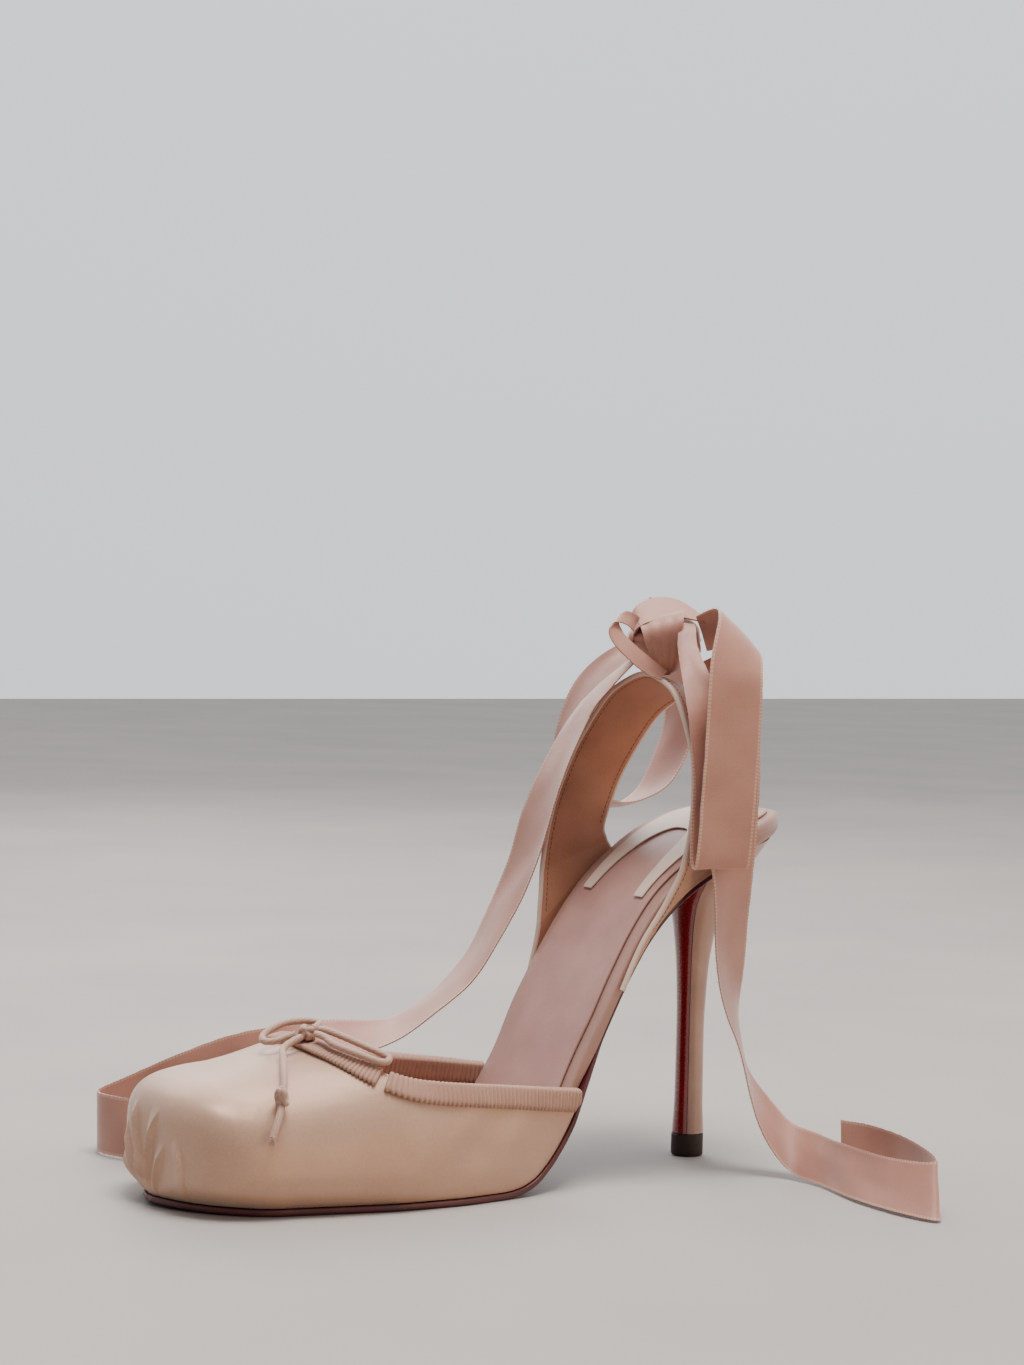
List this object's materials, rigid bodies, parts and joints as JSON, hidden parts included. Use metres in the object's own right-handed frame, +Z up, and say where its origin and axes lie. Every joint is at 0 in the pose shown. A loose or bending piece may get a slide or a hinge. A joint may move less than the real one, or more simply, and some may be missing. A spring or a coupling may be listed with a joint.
{
  "type": "strappy high heel pump",
  "caption": "Left satin high heel pump with a square pleated toe, a grosgrain bound throat with a drawstring bow, an ankle strap and a long ribbon tied in a bow.",
  "frame": {"origin": "on the floor under the middle of the ball tread", "axes": "-X towards the toe, -Y towards the outer side of the foot, +Z up from the floor"},
  "size_m": [0.2087, 0.1987, 0.1717],
  "materials": {
    "satin": "satin weave, soft sheen",
    "insole_satin": "satin covered board",
    "sock_leather": "smooth lining",
    "pad_leather": "smooth pale leather",
    "sole_leather": "lacquered sole leather",
    "grosgrain": "ribbed tape",
    "strap_satin": "satin over leather",
    "heel_cover": "smooth leather cover",
    "lacquer": "high gloss wine lacquer",
    "tip_rubber": "hard dark rubber",
    "ribbon": "satin ribbon with woven edge",
    "cord": "woven round cord"
  },
  "bodies": {
    "root": {"outsole": "sole_leather", "insole": "insole_satin", "sock": "sock_leather", "heel_pad": "pad_leather", "upper": "satin", "binding_near": "grosgrain", "binding_throat": "grosgrain", "binding_far": "grosgrain", "heel": "heel_cover", "heel_breast": "lacquer", "toplift": "tip_rubber", "ankle_strap": "strap_satin", "ribbon_knot": "ribbon", "ribbon_fold": "ribbon", "ribbon_loop_near": "ribbon", "ribbon_loop_far": "ribbon", "ribbon_tail_front": "ribbon", "ribbon_tail_rear": "ribbon", "bow_knot": "cord", "drawstring_bow_left": "cord", "drawstring_bow_right": "cord", "drawstring_end": "cord", "drawstring_stop": "cord", "drawstring_tip": "cord"}
  },
  "joints": []
}
